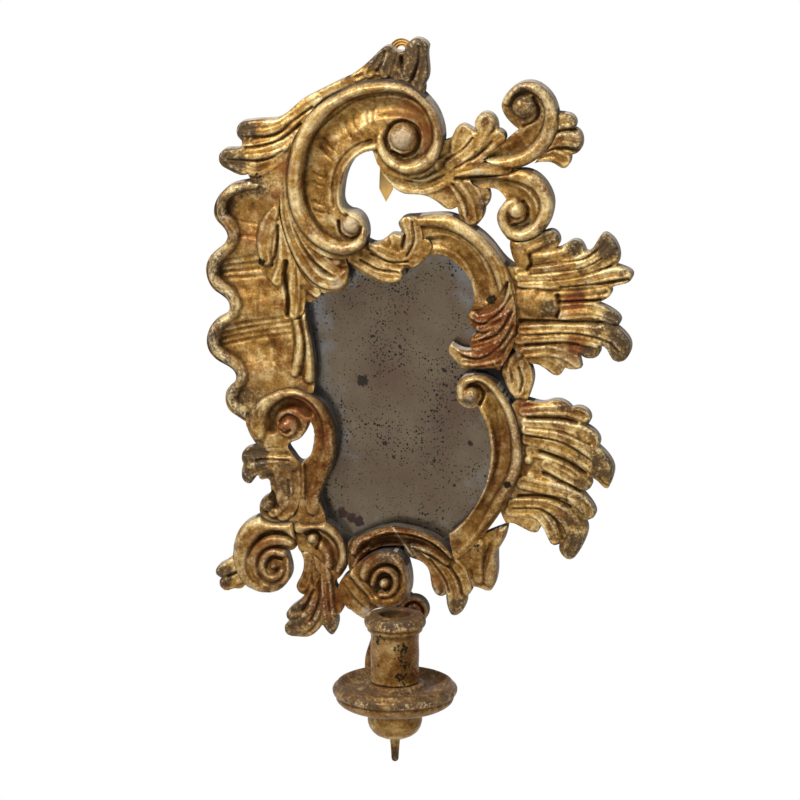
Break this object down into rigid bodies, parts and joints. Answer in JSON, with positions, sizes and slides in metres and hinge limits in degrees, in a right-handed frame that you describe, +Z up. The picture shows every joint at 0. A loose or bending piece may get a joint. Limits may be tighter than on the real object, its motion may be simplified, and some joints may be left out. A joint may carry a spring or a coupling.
{
  "type": "carved giltwood wall mirror",
  "caption": "Asymmetrical carved and gilded wall mirror with scrolls, leaves and a fluted shell round an old looking-glass, and a turned candle holder on a carved arm below.",
  "frame": {"origin": "the wall nail inside the top of the ribbon's loop, on the wall plane", "axes": "+X to the viewer's right, +Y into the wall, +Z up"},
  "size_m": [0.3244, 0.139, 0.5395],
  "materials": {
    "gilt_wood": "worn water gilding over red clay",
    "looking_glass": "aged tin silvering with dark specks",
    "bare_pine": "planed, aged",
    "wrought_iron": "hammered, dark",
    "satin_ribbon": "gold satin"
  },
  "bodies": {
    "mirror_frame": {"apron_corner": "gilt_wood", "apron_leaf": "gilt_wood", "apron_scroll": "gilt_wood", "arm_strap": "wrought_iron", "backboard": "bare_pine", "backboard_sprigs": "wrought_iron", "bottom_arch": "gilt_wood", "bottom_knop": "gilt_wood", "branch_lower_scroll": "gilt_wood", "branch_stem": "gilt_wood", "branch_tip_leaf": "gilt_wood", "branch_upper_scroll": "gilt_wood", "candle_arm": "gilt_wood", "candle_pin": "wrought_iron", "corner_leaf": "gilt_wood", "corner_small_scroll": "gilt_wood", "corner_volute": "gilt_wood", "crest_foot_leaf": "gilt_wood", "crest_leaf": "gilt_wood", "crest_scroll": "gilt_wood", "crest_side_leaf": "gilt_wood", "ground_board": "gilt_wood", "hanging_ribbon": "satin_ribbon", "leaf_bud": "gilt_wood", "left_sight_scroll": "gilt_wood", "left_spur": "gilt_wood", "lower_leaf_spray": "gilt_wood", "mirror_plate": "looking_glass", "pendent_leaf": "gilt_wood", "ribbon_staple": "wrought_iron", "right_sight_scroll": "gilt_wood", "shell_leaf": "gilt_wood", "shell_panel": "gilt_wood", "sight_acanthus": "gilt_wood", "strap_nails": "wrought_iron", "top_leaf": "gilt_wood", "top_sight_scroll": "gilt_wood", "upper_leaf_spray": "gilt_wood"},
    "pan_body": {"drip_pan": "gilt_wood"},
    "nozzle_body": {"candle_nozzle": "gilt_wood"}
  },
  "joints": [
    {"name": "pan_turn", "type": "hinge", "parent": "mirror_frame", "child": "pan_body", "pos_m": [0.00943, -0.092, -0.48952], "axis": [0, 0, 1], "continuous": true},
    {"name": "nozzle_turn", "type": "hinge", "parent": "mirror_frame", "child": "nozzle_body", "pos_m": [0.00943, -0.092, -0.46722], "axis": [0, 0, 1], "continuous": true}
  ]
}
